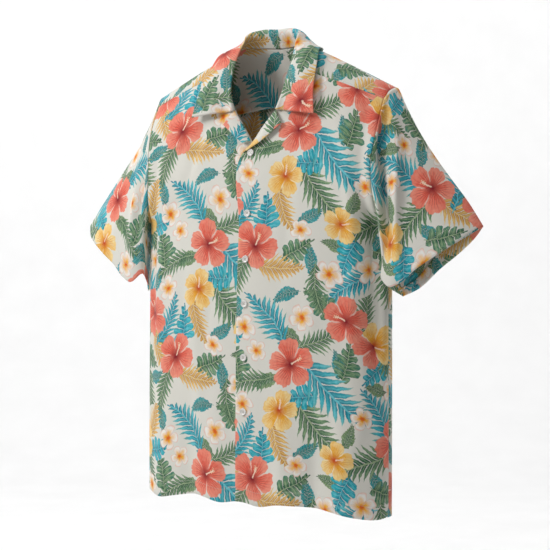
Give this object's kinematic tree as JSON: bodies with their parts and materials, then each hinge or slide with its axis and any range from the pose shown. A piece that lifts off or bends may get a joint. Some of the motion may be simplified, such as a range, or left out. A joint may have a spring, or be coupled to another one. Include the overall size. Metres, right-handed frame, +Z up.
{
  "type": "short-sleeved camp-collar shirt",
  "caption": "Short-sleeved tropical print shirt with an open camp collar, button front, back yoke and straight hem, in its hollow worn shape.",
  "frame": {"origin": "the nape, the middle of the back neck seam, where the shirt rests on its wearer", "axes": "+Z up, -Y out of the shirt's front, +X towards the wearer's left"},
  "size_m": [0.715, 0.1623, 0.7591],
  "materials": {
    "printed_cotton": "soft matt plain weave, printed with flowers and leaves",
    "shell_button": "pearly polished"
  },
  "bodies": {
    "root": {"front_left": "printed_cotton", "front_right": "printed_cotton", "back": "printed_cotton", "yoke": "printed_cotton", "sleeve_left": "printed_cotton", "sleeve_right": "printed_cotton", "collar": "printed_cotton", "lapel_left": "printed_cotton", "lapel_right": "printed_cotton", "button_1": "shell_button", "button_2": "shell_button", "button_3": "shell_button", "button_4": "shell_button", "button_5": "shell_button", "button_6": "shell_button"}
  },
  "joints": []
}
